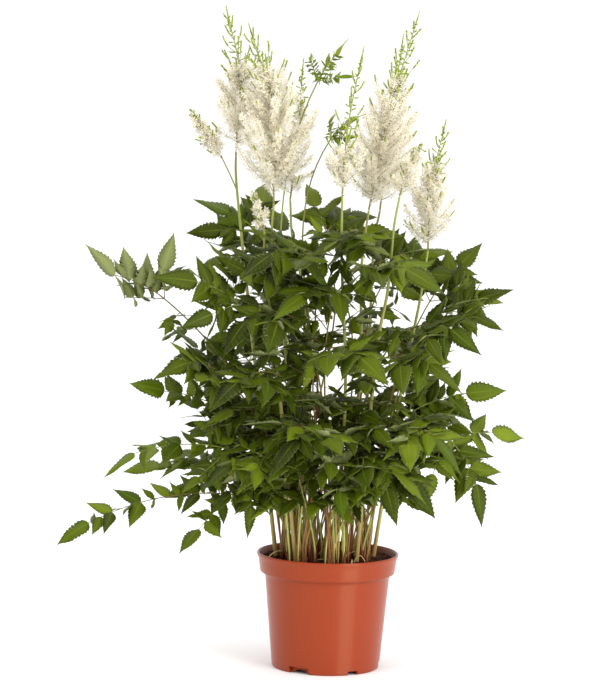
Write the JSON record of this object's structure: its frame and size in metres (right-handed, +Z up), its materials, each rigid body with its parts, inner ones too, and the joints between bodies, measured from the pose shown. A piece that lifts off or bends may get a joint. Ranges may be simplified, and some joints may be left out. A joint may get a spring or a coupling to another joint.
{
  "type": "potted astilbe plant",
  "caption": "Astilbe in a terracotta-coloured plastic nursery pot: cream feathery plumes on upright stems over spreading compound leaves with toothed leaflets.",
  "frame": {"origin": "centre of the pot's flat underside", "axes": "+Z up along the stems, -Z is the way the pot's underside faces, -Y is the front side"},
  "size_m": [0.555, 0.3679, 0.7778],
  "materials": {
    "pot_plastic": "satin moulded terracotta-coloured plastic",
    "potting_soil": "matt dark peat compost",
    "stem_green": "matt yellow-green stem, reddish at the foot",
    "floret_cream": "matt cream florets with green buds at the tips",
    "leaf_green": "satin dark green leaf with paler veins"
  },
  "bodies": {
    "root": {"pot": "pot_plastic", "soil": "potting_soil", "stem_1": "stem_green", "stem_2": "stem_green", "stem_3": "stem_green", "stem_4": "stem_green", "stem_5": "stem_green", "stem_6": "stem_green", "stem_7": "stem_green", "stem_8": "stem_green", "stem_9": "stem_green", "plume_1": "floret_cream", "plume_2": "floret_cream", "plume_3": "floret_cream", "plume_4": "floret_cream", "plume_5": "floret_cream", "plume_6": "floret_cream", "plume_7": "floret_cream", "plume_8": "floret_cream", "plume_9": "floret_cream", "plume_10": "floret_cream", "leaf_top_shoot": "leaf_green", "leaf_low_shoot": "leaf_green", "leaf_left_reach": "leaf_green", "leaf_low_left_reach": "leaf_green", "leaf_right_reach": "leaf_green", "leaf_low_right_reach": "leaf_green", "leaf_mid_right": "leaf_green", "leaf_mid_left": "leaf_green", "leaf_low_left_2": "leaf_green", "leaf_low_left_3": "leaf_green", "leaf_high_left_1": "leaf_green", "leaf_high_left_2": "leaf_green", "leaf_high_left_3": "leaf_green", "leaf_high_right_1": "leaf_green", "leaf_high_right_2": "leaf_green", "leaf_high_right_3": "leaf_green", "leaf_high_right_4": "leaf_green", "leaf_high_front_1": "leaf_green", "leaf_high_front_2": "leaf_green", "leaf_high_front_3": "leaf_green", "leaf_high_front_4": "leaf_green", "leaf_mid_front_1": "leaf_green", "leaf_mid_front_2": "leaf_green", "leaf_mid_front_3": "leaf_green", "leaf_mid_left_2": "leaf_green", "leaf_mid_left_3": "leaf_green", "leaf_mid_left_4": "leaf_green", "leaf_mid_right_2": "leaf_green", "leaf_low_right_2": "leaf_green", "leaf_low_front_1": "leaf_green", "leaf_low_front_2": "leaf_green", "leaf_low_front_3": "leaf_green", "leaf_back_1": "leaf_green", "leaf_back_2": "leaf_green", "leaf_back_3": "leaf_green", "leaf_mid_front_4": "leaf_green", "leaf_mid_front_5": "leaf_green", "leaf_low_front_4": "leaf_green", "leaf_low_right_3": "leaf_green"}
  },
  "joints": []
}
